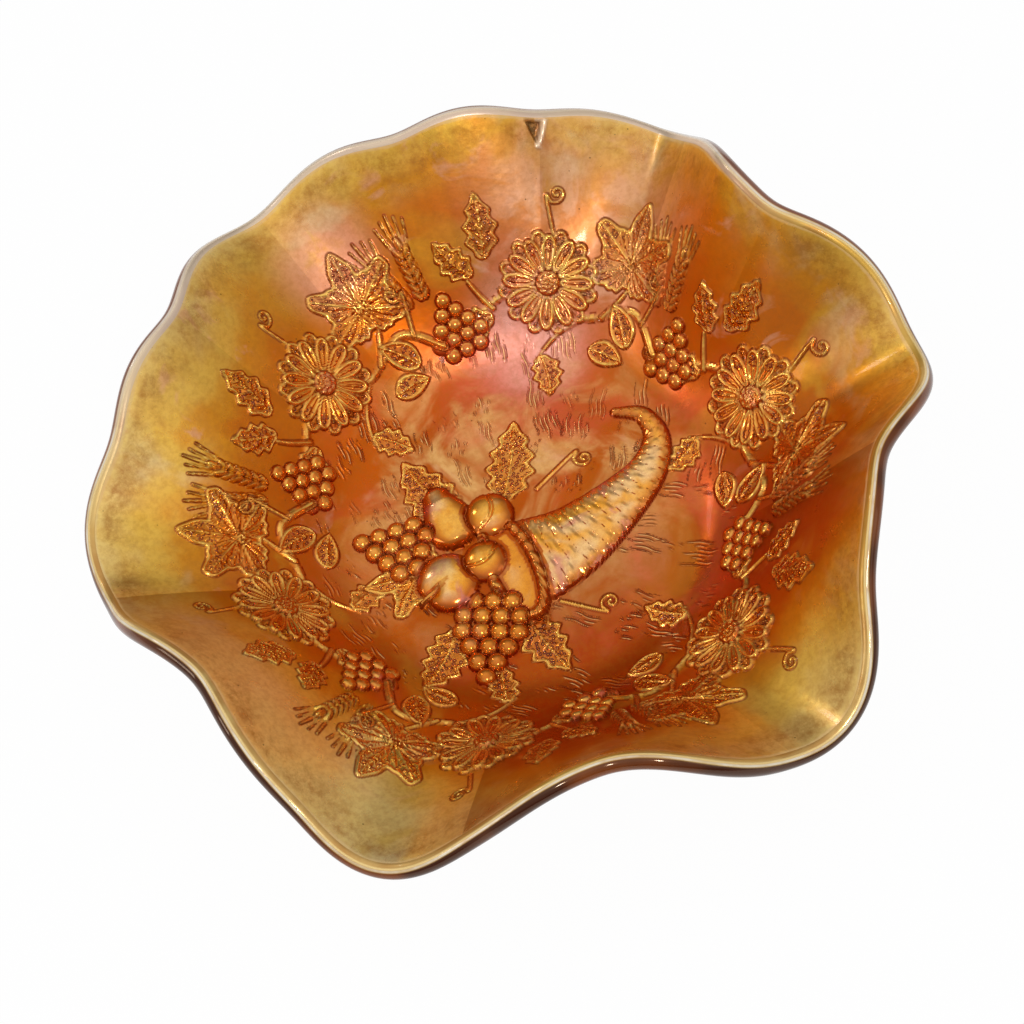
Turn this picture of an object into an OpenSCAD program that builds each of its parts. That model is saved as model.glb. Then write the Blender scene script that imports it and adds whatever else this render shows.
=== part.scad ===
// Ruffled pressed-glass bowl with an iridised marigold finish.
// The glass is built as it is formed: a collar base and a flat floor from the
// mould, a wall pressed with wide panels outside and a scalloped edge, crimped
// into ruffles while hot, and the fire-polished bead that finishes that edge.
// Millimetres and degrees, +Z up, with the origin at the centre of the plane that
// the collar base stands on and the first ridge between two panels along +X.

/* [Collar base] */
// How far the collar base sits in from the edge of the floor
foot_inset = 1; // [0.5:0.5:6]
// Radial width of the collar base where it meets the floor
foot_w = 5.5; // [4.5:0.5:9]
// Height of the collar base below the floor
foot_h = 5; // [3.5:0.5:9]
// How far each side of the collar base tapers in, so that it leaves the mould
foot_draft = 0.4; // [0:0.1:0.6]
// Radius that rounds the lower edges of the collar base
foot_round = 1.2; // [0.4:0.2:1.6]

/* [Floor] */
// Radius of the flat floor inside the bowl
floor_r = 42; // [36:1:48]
// Thickness of the floor
floor_t = 5; // [3.5:0.5:8]

/* [Wall] */
// Radial run of the curve that eases the floor into the wall
belly_run = 16; // [10:1:22]
// Radial run from the end of that curve to the shoulder
shoulder_run = 10; // [6:1:16]
// Rise of the shoulder above the floor
shoulder_rise = 19; // [14:1:28]
// Slant length of the glass beyond the shoulder, at the middle of a panel
lip_length = 44; // [34:1:50]
// Thickness of the wall between two panels
wall_t = 4.6; // [3:0.2:6]
// How far the rounded rim stands past the end of the wall
rim_bulge = 2.3; // [1.2:0.1:3.2]

/* [Outside panels] */
// Number of wide panels pressed into the outside
panel_count = 16; // [12:1:20]
// Depth of each panel at its middle
panel_depth = 1.2; // [0.2:0.1:1.6]
// How far the edge of each panel bows out past the ridges
scallop_depth = 2.5; // [0.5:0.1:4]
// How softly the fire polish rounds the notches between the scallops
scallop_softness = 0.6; // [0.1:0.1:1]

/* [Ruffles] */
// Number of ruffles round the rim
ruffle_count = 6; // [5:1:7]
// Mean lean of an outward lobe above the horizontal
lobe_angle = 21; // [16:1:32]
// Mean lean of an upright fold above the horizontal
fold_angle = 52; // [46:1:64]
// How much fuller the folds are than the lobes
fold_fullness = 0.5; // [0:0.1:0.8]
// Turn of the crimper from the panels
crimp_angle = -5; // [-11:1:11]
// Share of the hand crimper's unevenness that is kept
unevenness = 1; // [0:0.1:1.2]

/* [Hidden] */

// Hand crimping: the drift of each lobe and fold round the rim, and its extra lean.
LOBE_DRIFT = [3, -3, -2, 0, 1, 3];
FOLD_DRIFT = [4, -4, -5, -3, 3, 5];
LOBE_EXTRA = [1, -6, 1, 3, 2, -2];
FOLD_EXTRA = [6, -9, -4, 2, 5, 3];
DRIFT_COUNT = len(LOBE_DRIFT);
RIDGE_SOFTNESS = 0.1;

STRIPS_PER_PANEL = 8;
MAX_STRIP_ANGLE = 10;
WALL_ROWS = 12;
RIM_STEPS = 8;
FOOT_STEPS = 5;
FOOT_FACETS = 128;
REACH_STEP = 0.001;
STEP_ANGLE = 0.05;

floor_z = foot_h + floor_t;
belly_r = floor_r + belly_run;
shoulder_r = belly_r + shoulder_run;
shoulder_z = floor_z + shoulder_rise;
foot_r = floor_r - foot_inset;

// Marigold glass is pale at its edge and deep orange at its floor.
rim_gold = [0.86, 0.74, 0.42];
wall_gold = [0.80, 0.50, 0.14];
floor_orange = [0.76, 0.36, 0.08];
foot_amber = [0.62, 0.34, 0.10];

// ---- The crimped edge -------------------------------------------------------

// A turn of the edge is an [azimuth, lean]. Lobes and folds come by turns.
function turn(i, half_pitches, mean, drift, extra) =
    let (k = i % DRIFT_COUNT,
         kept_drift = drift[k] * unevenness * DRIFT_COUNT / ruffle_count)
    [(2 * i + half_pitches) * 180 / ruffle_count + kept_drift + crimp_angle,
     mean + extra[k] * unevenness];

turns = [for (i = [0 : ruffle_count - 1])
    each [turn(i, 0, lobe_angle, LOBE_DRIFT, LOBE_EXTRA),
          turn(i, 1, fold_angle, FOLD_DRIFT, FOLD_EXTRA)]];

// The azimuth's equal within one lap that starts at the first lobe.
function in_first_lap(azimuth) = azimuth - 360 * floor((azimuth - turns[0][0]) / 360);

function next_turn(k) = k + 1 < len(turns) ? turns[k + 1] : turns[0] + [360, 0];

function turn_before(azimuth, k = 0) =
    azimuth < next_turn(k)[0] || k + 1 >= len(turns) ? k : turn_before(azimuth, k + 1);

// Goes from 0 at a lobe to 1 at a fold, and stays high for longer as folds get fuller.
function fold_share(u) =
    let (eased = (1 - cos(180 * u)) / 2) eased * (1 + fold_fullness * (1 - eased));

function lean(azimuth) =
    let (a = in_first_lap(azimuth), k = turn_before(a),
         from = turns[k], to = next_turn(k),
         u = (a - from[0]) / (to[0] - from[0]),
         low = min(from[1], to[1]), high = max(from[1], to[1]))
    low + (high - low) * fold_share(to[1] > from[1] ? u : 1 - u);

// ---- The panels -------------------------------------------------------------

// Goes from 0 at a ridge between two panels to 1 at the middle of a panel.
function panel_bow(azimuth, soft) =
    let (across = sin(panel_count * azimuth / 2))
    (sqrt(across * across + soft * soft) - soft) / (sqrt(1 + soft * soft) - soft);

function panel_hollow(reach, azimuth) =
    panel_depth * sin(180 * reach) * panel_bow(azimuth, RIDGE_SOFTNESS);

function lip(azimuth) = lip_length - scallop_depth * (1 - panel_bow(azimuth, scallop_softness));

// ---- The wall's surfaces, with reach from 0 at the floor to 1 at the edge ----

// Inner surface: a cubic curve that leaves the floor flat and ends along the lean.
function inner_point(reach, azimuth) =
    let (slope = lean(azimuth),
         edge_r = shoulder_r + lip(azimuth) * cos(slope),
         edge_z = shoulder_z + lip(azimuth) * sin(slope),
         a = pow(1 - reach, 3), b = 3 * reach * pow(1 - reach, 2),
         c = 3 * reach * reach * (1 - reach), d = pow(reach, 3),
         r = a * floor_r + b * belly_r + c * shoulder_r + d * edge_r,
         z = (a + b) * floor_z + c * shoulder_z + d * edge_z)
    [r * cos(azimuth), r * sin(azimuth), z];

function unit(v) = v / norm(v);

function up_the_wall(reach, azimuth) =
    unit(inner_point(reach + REACH_STEP, azimuth) - inner_point(reach - REACH_STEP, azimuth));

function round_the_wall(reach, azimuth) =
    unit(inner_point(reach, azimuth + STEP_ANGLE) - inner_point(reach, azimuth - STEP_ANGLE));

// Points out of the bowl, square to the inner surface.
function outward(reach, azimuth) =
    unit(cross(round_the_wall(reach, azimuth), up_the_wall(reach, azimuth)));

function thickness(reach, azimuth) =
    wall_t + (floor_t - wall_t) * pow(1 - reach, 3) - panel_hollow(reach, azimuth);

function outer_point(reach, azimuth) =
    reach == 0
        ? inner_point(0, azimuth) - [0, 0, floor_t]
        : inner_point(reach, azimuth) + outward(reach, azimuth) * thickness(reach, azimuth);

// ---- Strips of the wall, narrower where its edge bends more ------------------

STRIP = 360 / (panel_count * STRIPS_PER_PANEL);

function edge_bend(azimuth) =
    acos(min(1, round_the_wall(1, azimuth) * round_the_wall(1, azimuth + STRIP)));

azimuths = [for (i = [0 : panel_count * STRIPS_PER_PANEL - 1])
    let (azimuth = i * STRIP, parts = max(1, ceil(edge_bend(azimuth) / MAX_STRIP_ANGLE)))
    each [for (k = [0 : parts - 1]) azimuth + STRIP * k / parts]];

// ---- Solids -----------------------------------------------------------------

// Two triangles on corners a, b, c and d, parted along the shorter diagonal, so
// that pieces which share a face part it alike.
function split_quad(points, a, b, c, d) =
    norm(points[a] - points[c]) < norm(points[b] - points[d])
        ? [[a, b, c], [a, c, d]]
        : [[a, b, d], [b, c, d]];

// A closed ring through one outline of points per azimuth.
module ring_of_outlines(outlines) {
    n = len(outlines);
    m = len(outlines[0]);
    points = [for (outline = outlines) each outline];
    faces = [for (i = [0 : n - 1], j = [0 : m - 1])
        let (here = i * m, there = ((i + 1) % n) * m, k = (j + 1) % m)
        each split_quad(points, here + j, there + j, there + k, here + k)];
    polyhedron(points, faces);
}

function arc(centre, radius, from, to) =
    [for (i = [0 : FOOT_STEPS]) let (a = from + (to - from) * i / FOOT_STEPS)
        centre + radius * [cos(a), sin(a)]];

// Tapered standing ring with rounded lower edges and a flat foot.
module collar_base() {
    inner_r = foot_r - foot_w;
    color(foot_amber)
    rotate_extrude($fn = FOOT_FACETS)
    polygon(concat(
        [[inner_r, foot_h]],
        arc([inner_r + foot_draft + foot_round, foot_round], foot_round, 180, 270),
        arc([foot_r - foot_draft - foot_round, foot_round], foot_round, 270, 360),
        [[foot_r, foot_h]]));
}

// Flat floor, whose edge has one flat for each strip of the wall.
module bowl_floor() {
    color(floor_orange)
    translate([0, 0, foot_h])
    linear_extrude(height = floor_t)
    polygon([for (a = azimuths) floor_r * [cos(a), sin(a)]]);
}

// Plain inside and panelled outside, from the floor's edge to the rim.
module ruffled_wall() {
    color(wall_gold)
    ring_of_outlines([for (a = azimuths) concat(
        [for (i = [0 : WALL_ROWS]) inner_point(i / WALL_ROWS, a)],
        [for (i = [WALL_ROWS : -1 : 0]) outer_point(i / WALL_ROWS, a)])]);
}

// Half-round bead on the end face of the wall.
module rim_bead() {
    color(rim_gold)
    ring_of_outlines([for (a = azimuths)
        let (inside = inner_point(1, a), outside = outer_point(1, a),
             middle = (inside + outside) / 2, half = (outside - inside) / 2,
             past = up_the_wall(1, a) * rim_bulge)
        concat(
            [inside],
            [for (i = [1 : RIM_STEPS - 1]) let (s = 180 * i / RIM_STEPS)
                middle - half * cos(s) + past * sin(s)],
            [outside])]);
}

collar_base();
bowl_floor();
ruffled_wall();
rim_bead();
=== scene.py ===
"""Ruffled carnival glass bowl: the finished glass, its moulded relief and the studio."""
import math

import bpy
import numpy as np
from mathutils import Matrix, Vector


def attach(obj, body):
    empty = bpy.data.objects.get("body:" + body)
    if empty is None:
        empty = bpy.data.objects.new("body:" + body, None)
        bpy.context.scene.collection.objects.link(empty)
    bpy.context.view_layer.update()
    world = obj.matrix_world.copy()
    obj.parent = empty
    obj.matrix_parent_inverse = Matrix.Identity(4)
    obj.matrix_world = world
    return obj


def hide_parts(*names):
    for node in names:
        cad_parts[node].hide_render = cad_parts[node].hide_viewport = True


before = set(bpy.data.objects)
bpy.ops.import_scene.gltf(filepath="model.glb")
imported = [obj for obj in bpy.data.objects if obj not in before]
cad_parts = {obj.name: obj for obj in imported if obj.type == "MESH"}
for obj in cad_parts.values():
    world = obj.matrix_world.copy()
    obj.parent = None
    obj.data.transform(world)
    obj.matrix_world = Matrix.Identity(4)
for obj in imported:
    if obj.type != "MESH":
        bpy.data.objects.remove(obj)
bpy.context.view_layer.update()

MM = 0.001

# ---- Driving sizes, as in part.scad: millimetres and degrees
foot_inset = 1
foot_w = 5.5
foot_h = 5
foot_draft = 0.4
foot_round = 1.2
floor_r = 42
floor_t = 5
belly_run = 16
shoulder_run = 10
shoulder_rise = 19
lip_length = 44
wall_t = 4.6
rim_bulge = 2.3
panel_count = 16
panel_depth = 1.2
scallop_depth = 2.5
scallop_softness = 0.6
ruffle_count = 6
lobe_angle = 21
fold_angle = 52
fold_fullness = 0.5
crimp_angle = -5
LOBE_DRIFT = (3, -3, -2, 0, 1, 3)
FOLD_DRIFT = (4, -4, -5, -3, 3, 5)
LOBE_EXTRA = (1, -6, 1, 3, 2, -2)
FOLD_EXTRA = (6, -9, -4, 2, 5, 3)
RIDGE_SOFTNESS = 0.1

floor_z = foot_h + floor_t
belly_r = floor_r + belly_run
shoulder_r = belly_r + shoulder_run
shoulder_z = floor_z + shoulder_rise
foot_r = floor_r - foot_inset

# ---- Mesh density
COARSE = 1
AROUND = panel_count * 72 // COARSE
RELIEF_END = 100
RELIEF_STEP = 0.46 * COARSE
PLAIN_STEP = 1.25
EDGE_BAND = 11
EDGE_STEP = 0.6 * COARSE
OUTER_ROWS = 28 // COARSE
BEAD_ROWS = 16
FOOT_SEGMENTS = 288
FOOT_STEPS = 7
# Where the wall's length is taken: so many reaches on so many lines up the wall.
REACHES = 601
LINES = 32


# ---- The crimped wall
def crimp_turns():
    """Azimuth and lean of each lobe and fold by turns, in radians."""
    pitch = 360 / ruffle_count
    turns = []
    for i in range(ruffle_count):
        turns.append((i * pitch + LOBE_DRIFT[i] + crimp_angle, lobe_angle + LOBE_EXTRA[i]))
        turns.append(((i + 0.5) * pitch + FOLD_DRIFT[i] + crimp_angle, fold_angle + FOLD_EXTRA[i]))
    turns.append((turns[0][0] + 360, turns[0][1]))
    return np.radians(np.array(turns))


TURNS = crimp_turns()


def between_turns(azimuth):
    """The last turn before an azimuth, and the share of the way to the next."""
    at = TURNS[:, 0]
    a = np.mod(azimuth - at[0], 2 * math.pi) + at[0]
    k = np.clip(np.searchsorted(at, a, side="right") - 1, 0, len(at) - 2)
    return k, (a - at[k]) / (at[k + 1] - at[k])


def lean(azimuth):
    """The wall's lean: low at a lobe and high, for longer, at a fold."""
    k, u = between_turns(azimuth)
    leans = TURNS[:, 1]
    u = np.where(leans[k + 1] > leans[k], u, 1 - u)
    eased = (1 - np.cos(math.pi * u)) / 2
    share = eased * (1 + fold_fullness * (1 - eased))
    low, high = np.minimum(leans[k], leans[k + 1]), np.maximum(leans[k], leans[k + 1])
    return low + (high - low) * share


def panel_bow(azimuth, soft):
    """0 at a ridge between two panels, 1 at the middle of a panel."""
    across = np.sin(panel_count / 2 * azimuth)
    return (np.sqrt(across ** 2 + soft ** 2) - soft) / (math.sqrt(1 + soft ** 2) - soft)


def inner_point(reach, azimuth):
    """A point of the wall's inside, with reach from 0 at the floor to 1 at the edge."""
    slope = lean(azimuth)
    lip = lip_length - scallop_depth * (1 - panel_bow(azimuth, scallop_softness))
    edge_r, edge_z = shoulder_r + lip * np.cos(slope), shoulder_z + lip * np.sin(slope)
    a, b = (1 - reach) ** 3, 3 * reach * (1 - reach) ** 2
    c, d = 3 * reach ** 2 * (1 - reach), reach ** 3
    r = a * floor_r + b * belly_r + c * shoulder_r + d * edge_r
    z = (a + b) * floor_z + c * shoulder_z + d * edge_z
    return np.stack([r * np.cos(azimuth), r * np.sin(azimuth), z], -1)


def unit(v):
    return v / np.maximum(np.linalg.norm(v, axis=-1, keepdims=True), 1e-12)


STEP = 1e-3


def up_the_wall(reach, azimuth):
    return unit(inner_point(reach + STEP, azimuth) - inner_point(reach - STEP, azimuth))


def outward(reach, azimuth):
    around = unit(inner_point(reach, azimuth + STEP) - inner_point(reach, azimuth - STEP))
    return unit(np.cross(around, up_the_wall(reach, azimuth)))


def thickness(reach, azimuth):
    hollow = panel_depth * np.sin(math.pi * reach) * panel_bow(azimuth, RIDGE_SOFTNESS)
    return wall_t + (floor_t - wall_t) * (1 - reach) ** 3 - hollow


# ---- Moulded relief: motifs over the flattened bowl, in millimetres
def smooth(low, high, x):
    u = np.clip((x - low) / (high - low), 0, 1)
    return u * u * (3 - 2 * u)


def ridge(x, width):
    return np.exp(-(x / width) ** 2)


def dome(distance, radius):
    return np.sqrt(np.clip(1 - (distance / radius) ** 2, 0, 1))


def ellipse(u, v, a, b):
    """Nearly the distance from an ellipse, negative inside it."""
    k = np.hypot(u / a, v / b)
    slope = np.hypot(u / a ** 2, v / b ** 2) / np.maximum(k, 1e-6)
    return (k - 1) / np.maximum(slope, 1e-3)


def turned(degrees):
    return math.cos(math.radians(degrees)), math.sin(math.radians(degrees))


def polar(rho, degrees):
    c, s = turned(degrees)
    return rho * c, rho * s


def offset(base, turn, along, across):
    """The place along and across from a base, on axes turned by turn degrees."""
    c, s = turned(turn)
    return base[0] + along * c - across * s, base[1] + along * s + across * c


EDGE_REACH = 1.2
# The line field marks bright edges and crests: rubbed lustre with a painted highlight.
FIELDS = ("line", "stipple", "figure", "hatch", "stroke")


class Relief:
    """Raised work over points of the flattened bowl, in millimetres."""

    def __init__(self, x, y):
        self.x, self.y = x, y
        self.edge = np.full_like(x, EDGE_REACH)
        for field in ("height", *FIELDS):
            setattr(self, field, np.zeros_like(x))

    def local(self, centre, turn, reach, size=1):
        """Points within reach of a centre, and their places on axes turned by turn degrees."""
        dx, dy = self.x - centre[0], self.y - centre[1]
        near = np.flatnonzero(dx * dx + dy * dy < (reach * size) ** 2)
        c, s = turned(turn)
        u, v = dx[near] * c + dy[near] * s, dy[near] * c - dx[near] * s
        return near, u / size, v / size

    def lay(self, near, distance, height, line=0, stipple=0, figure=0):
        """Lays a motif over what is there, inside its own outline."""
        inside = smooth(0.2, -0.15, distance)
        for field, value in ((self.height, height), (self.line, line),
                             (self.stipple, stipple), (self.figure, figure)):
            field[near] += (value - field[near]) * inside
        self.edge[near] = np.where(distance < EDGE_REACH, distance, self.edge[near])


def plate(d, crown=0.5, rim=0.95):
    """A raised outline round a lower, slightly crowned field."""
    edge = ridge(d + 0.62, 0.44)
    return 0.25 + crown * smooth(0.6, 4, -d) + rim * edge, edge


def ribs(along, pitch, width):
    """Ridges across a length, one to each pitch."""
    return ridge(np.abs(along / pitch % 1 - 0.5) * pitch, width)


# Layers of petals: how far out their middles are, and half their length and width.
PETAL_LAYERS = ((8.6, 4.6, 2.3), (7.3, 4.6, 2))


def daisy(relief, centre, turn, size=1, petals=12):
    """Two layers of petals round a disc of seeds."""
    near, u, v = relief.local(centre, turn, 15, size)
    angle, rad = np.arctan2(v, u), np.hypot(u, v)
    step = 2 * math.pi / petals
    for layer, (middle, long, wide) in enumerate(PETAL_LAYERS):
        folded = (angle + step * (1 - layer) / 2) % step - step / 2
        pu, pv = rad * np.cos(folded) - middle, rad * np.sin(folded)
        d = ellipse(pu, pv, long, wide + 0.1 * pu)
        height, edge = plate(d, 0.3, 0.48)
        vein = ridge(pv, 0.3) * smooth(-0.8, -1.2, d) * smooth(3.4, 1, pu)
        height = height + 0.24 * vein + 0.35 * layer
        stipple = smooth(0, 1.6, pu) * smooth(-0.9, -1.3, d)
        relief.lay(near, d * size, height * size, edge + 0.4 * vein, stipple)
    seeds = (0.5 + 0.5 * np.sin(angle * 9 + rad * 2)) * (0.5 + 0.5 * np.cos(rad * 5.2))
    height = 1.1 + 0.8 * dome(rad, 3.4) + 0.35 * seeds
    relief.lay(near, (rad - 3.1) * size, height * size, seeds, 0, 0.5)


def leaf(relief, base, turn, long, wide, lobes=0, bend=0):
    """A blade from its base, with a raised edge, a midrib and side veins."""
    near, u, v = relief.local(base, turn, long * 1.05)
    s = np.clip(u / long, 0, 1)
    v = v - bend * long * s * (1 - s)
    waves = 1 + 0.16 * np.cos(2 * math.pi * lobes * s) * (lobes > 0)
    half = wide * np.sin(math.pi * s ** 0.8) ** 0.75 * waves
    d = np.maximum((np.abs(v) - half) * 0.9, np.maximum(u - long, -u))
    height, edge = plate(d, 0.4, 0.46)
    mid = ridge(v, 0.34) * smooth(0, 0.1, s)
    side = ribs(u - 0.95 * np.abs(v), 2.4, 0.26) * smooth(-0.8, -1.2, d)
    relief.lay(near, d, height + 0.34 * mid + 0.2 * side, np.maximum(edge, 0.8 * mid + 0.4 * side),
               smooth(-1, -1.5, d) * (1 - mid))


# A vine leaf's lobes: each one's direction and how far and how wide it stands out.
VINE_LOBES = ((0, 0.46, 17), (56, 0.40, 17), (-56, 0.40, 17), (116, 0.26, 20), (-116, 0.26, 20))


def vine_edge(angle):
    """Radius of a vine leaf one unit long, at an angle in degrees from its tip."""
    lobes = 0.53 + sum(gain * ridge((angle - at + 180) % 360 - 180, spread)
                       for at, gain, spread in VINE_LOBES)
    teeth = 0.018 * np.cos(np.radians(angle * 22))
    return (lobes + teeth) * (1 - 0.3 * ridge(np.abs(angle) - 180, 14))


def vine_leaf(relief, base, turn, size):
    """A lobed and toothed leaf, with a main vein up each lobe and ribs off it."""
    near, u, v = relief.local(base, turn, size * 1.15)
    angle, rad = np.degrees(np.arctan2(v, u)), np.hypot(u, v)
    slope = (vine_edge(angle + 0.5) - vine_edge(angle - 0.5)) / math.radians(1)
    d = (rad - size * vine_edge(angle)) / np.sqrt(1 + (size * slope / np.maximum(rad, 1)) ** 2)
    height, edge = plate(d, 0.5, 0.46)
    veins = np.zeros_like(rad)
    for at, _, _ in VINE_LOBES:
        away = np.radians(angle - at)
        along, across = rad * np.cos(away), rad * np.sin(away)
        main = ridge(across, 0.34) * smooth(-0.4, 0.4, along)
        in_lobe = (np.abs(np.degrees(away)) < 29) * (along > 2)
        side = ribs(along - 1.1 * np.abs(across), 2.7, 0.24) * in_lobe
        veins = np.maximum(veins, np.maximum(main, 0.5 * side))
    veins = veins * smooth(-0.6, -1, d)
    relief.lay(near, d, height + 0.32 * veins, np.maximum(edge, 0.9 * veins),
               smooth(-1, -1.5, d) * (1 - veins) * smooth(0.25, 0.6, rad / size))


def ball(relief, centre, radius, rise):
    near, u, v = relief.local(centre, 0, radius * 1.2)
    rad = np.hypot(u, v)
    relief.lay(near, rad - radius, 0.3 + rise * dome(rad, radius * 1.03),
               0.15 * ridge(rad, radius * 0.4), 0, 0.3)


def grapes(relief, top, turn, rows=(3, 4, 3, 2, 1), radius=2.1, rise=1.7):
    """A bunch that hangs from its top, with so many grapes in each row."""
    for i in reversed(range(len(rows))):
        for j in range(rows[i]):
            along, across = 2 + i * radius * 1.62, (j - (rows[i] - 1) / 2) * radius * 1.86
            ball(relief, offset(top, turn, along, across), radius, rise)


def wheat(relief, base, turn, long=17, pairs=6):
    """An ear: five awns, then pairs of grains that lean out and one at the tip."""
    for k in (-2, -1, 1, 2, 0):
        root, tip = (long * (1 - 0.16 * abs(k)), 0.7 * k), (long + 8 - 1.3 * abs(k), 2.3 * k)
        stem(relief, [offset(base, turn, *place) for place in (root, tip)], 0.42, 0.6, 0.45)
    near, u, v = relief.local(base, turn, long + 3)
    for i in range(pairs + 1):
        paired = i < pairs
        c, s = turned(24 * paired)
        gu, gv = u - long * (i + 0.35) / (pairs + 0.6), np.abs(v) - 1.25 * paired
        a, b = gu * c + gv * s, gv * c - gu * s
        height = 0.45 + 0.9 * dome(np.hypot(a / 2.2, b / 1.15), 1.05) + 0.2 * ridge(b, 0.25)
        relief.lay(near, ellipse(a, b, 2.2, 1.15), height, 0.5 * ridge(b, 0.3))


def curve_points(points, count=24):
    """Points along a smooth curve (Catmull-Rom) through a few given ones."""
    p = np.array([points[0], *points, points[-1]], float)
    out = []
    for i in range(1, len(p) - 2):
        for t in np.linspace(0, 1, count, endpoint=False):
            a = 2 * p[i]
            b = (p[i + 1] - p[i - 1]) * t
            c = (2 * p[i - 1] - 5 * p[i] + 4 * p[i + 1] - p[i + 2]) * t * t
            d = (3 * p[i] - p[i - 1] - 3 * p[i + 1] + p[i + 2]) * t ** 3
            out.append((a + b + c + d) / 2)
    return np.array(out + [p[-2]])


def along_path(x, y, path):
    """Distance, side and share along a path for each point."""
    best = np.full(x.shape, 1e9)
    share, side = np.zeros(x.shape), np.zeros(x.shape)
    lengths = np.hypot(*np.diff(path, axis=0).T)
    total, run = lengths.sum(), 0
    for (x0, y0), (x1, y1), length in zip(path[:-1], path[1:], lengths):
        ux, uy = (x1 - x0) / length, (y1 - y0) / length
        t = np.clip((x - x0) * ux + (y - y0) * uy, 0, length)
        dx, dy = x - x0 - t * ux, y - y0 - t * uy
        dist = np.hypot(dx, dy)
        closer = dist < best
        best = np.where(closer, dist, best)
        share = np.where(closer, (run + t) / total, share)
        side = np.where(closer, np.sign(ux * dy - uy * dx) * dist, side)
        run += length
    return best, side, share


def stem(relief, points, width=0.75, rise=0.8, taper=0.5):
    path = curve_points(points, 10)
    middle = (path.min(0) + path.max(0)) / 2
    reach = np.hypot(*(path.max(0) - path.min(0))) / 2 + 3
    near = relief.local(middle, 0, reach)[0]
    dist, _, share = along_path(relief.x[near], relief.y[near], path)
    half = width * (1 - taper * share)
    relief.lay(near, dist - half * 1.5, 0.75 * rise * ridge(dist, half) + 0.05, ridge(dist, half * 0.8))


def tendril(relief, base, turn, long=9, curl=1):
    """A shoot whose end curls in, to one side or the other."""
    points = [base]
    for i in range(15):
        a = i * 0.62
        r = 3.1 * math.exp(-0.2 * a)
        along, across = long - r * math.sin(a + 0.2), curl * (r * math.cos(a + 0.2) - 3.1)
        points.append(offset(base, turn, along, across))
    stem(relief, points, 0.42, 0.55, 0.3)


HORN_PATH = ((33, 24), (39.5, 20.5), (41, 12.5), (35.5, 4), (24, -3), (9, -9), (-7, -11))
MOUTH_LONG = 15.2
MOUTH_WIDE = 6.2


def horn(relief):
    """Wicker horn of plenty: its tail curls at one side, its mouth opens at the other."""
    path = curve_points(HORN_PATH, 16)
    mouth, lead = path[-1], path[-1] - path[-4]
    ux, uy = lead / np.hypot(*lead)
    near = relief.local((14, 4), 0, 52)[0]
    dist, side, share = along_path(relief.x[near], relief.y[near], path)
    half = 1.4 + 12.6 * share ** 1.15
    past_mouth = (relief.x[near] - mouth[0]) * ux + (relief.y[near] - mouth[1]) * uy
    body = dome(dist, half * 1.02)
    rings = share * 24 + 0.5 * (side / half) ** 2
    across = np.arcsin(np.clip(side / (half * 1.02), -1, 1)) / math.pi * 9
    weave = np.cos(2 * math.pi * rings) * np.cos(math.pi * (across + np.floor(rings + 0.5)))
    bands = 0.5 + 0.5 * np.cos(2 * math.pi * rings)
    height = 0.6 + (1 + 2.9 * share) * body + (0.10 + 0.22 * share) * (0.6 * bands + 0.5 * weave)
    relief.lay(near, np.maximum(dist - half, past_mouth), height, 0.25 * bands * body, 0, 1)
    horn_lip(relief, mouth, math.degrees(math.atan2(uy, ux)))


def horn_lip(relief, mouth, turn):
    """The rope round the horn's oval mouth."""
    near, u, v = relief.local(mouth, turn, 22)
    oval = ellipse(u, v, MOUTH_WIDE, MOUTH_LONG)
    rope = 0.5 + 0.5 * np.cos(np.arctan2(v / MOUTH_LONG, u / MOUTH_WIDE) * 26 + oval * 1.6)
    relief.lay(near, oval, 1.6, 0, 0, 0.6)
    height = 1.9 + 1.9 * dome(np.abs(oval), 1.6) + 0.35 * rope
    relief.lay(near, np.abs(oval) - 1.5, height, 0.5 * rope, 0, 1)


def worn_and_highlit(height):
    """How far rubbing, with a painted highlight, has paled the lustre on a high place."""
    return 0.55 * smooth(0.8, 1, height)


def pear(relief, centre, turn, size=1):
    near, u, v = relief.local(centre, turn, 20, size)
    half = 7.2 * np.sqrt(np.clip(1 - (u / 7.2) ** 2, 0, 1))
    neck = np.where(u > 0, 7.2 - 3.9 * smooth(0, 12.5, u) - 3.3 * smooth(10.5, 13.5, u), half)
    d = np.maximum(np.abs(v) - neck, np.maximum(-u - 7.2, u - 13.5)) * 0.9
    body = np.sqrt(np.clip(1 - (v / np.maximum(neck, 0.3)) ** 2, 0, 1)) * np.minimum(1, neck / 5)
    relief.lay(near, d * size, (0.9 + 3 * body) * size, worn_and_highlit(body), 0, 1)


def apple(relief, centre, turn, size=1):
    near, u, v = relief.local(centre, turn, 12, size)
    rad, angle = np.hypot(u, v), np.arctan2(v, u)
    radius = 8 * (1 - 0.1 * ridge(angle, 0.35))
    height = 0.9 + 3.2 * dome(rad, radius * 1.02) - 1.1 * ridge(np.hypot(u - 4.6, v), 2)
    relief.lay(near, (rad - radius) * size, height * size, worn_and_highlit(dome(rad, radius)), 0, 1)
    stalk = np.hypot((u - 6.2) / 3.2, v / 0.55) - 1
    relief.lay(near, stalk * size, 2.9 * size, 0.6, 0, 0.6)


def peach(relief, centre, turn, size=1):
    near, u, v = relief.local(centre, turn, 10, size)
    rad = np.hypot(u, v)
    cleft = ridge(v - 0.09 * (u ** 2 - 9), 0.55) * smooth(-6.5, -4, u)
    height = 0.9 + 2.9 * dome(rad, 6.75) - 0.75 * cleft
    relief.lay(near, (rad - 6.6) * size, height * size, worn_and_highlit(dome(rad, 6.75)), 0, 1)


HATCH_SEED = 11
HATCH_RINGS = (16, 24, 32, 40, 48, 55)
GROUP_PITCH = 8.6
STROKE_PITCH = 1.15


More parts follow.
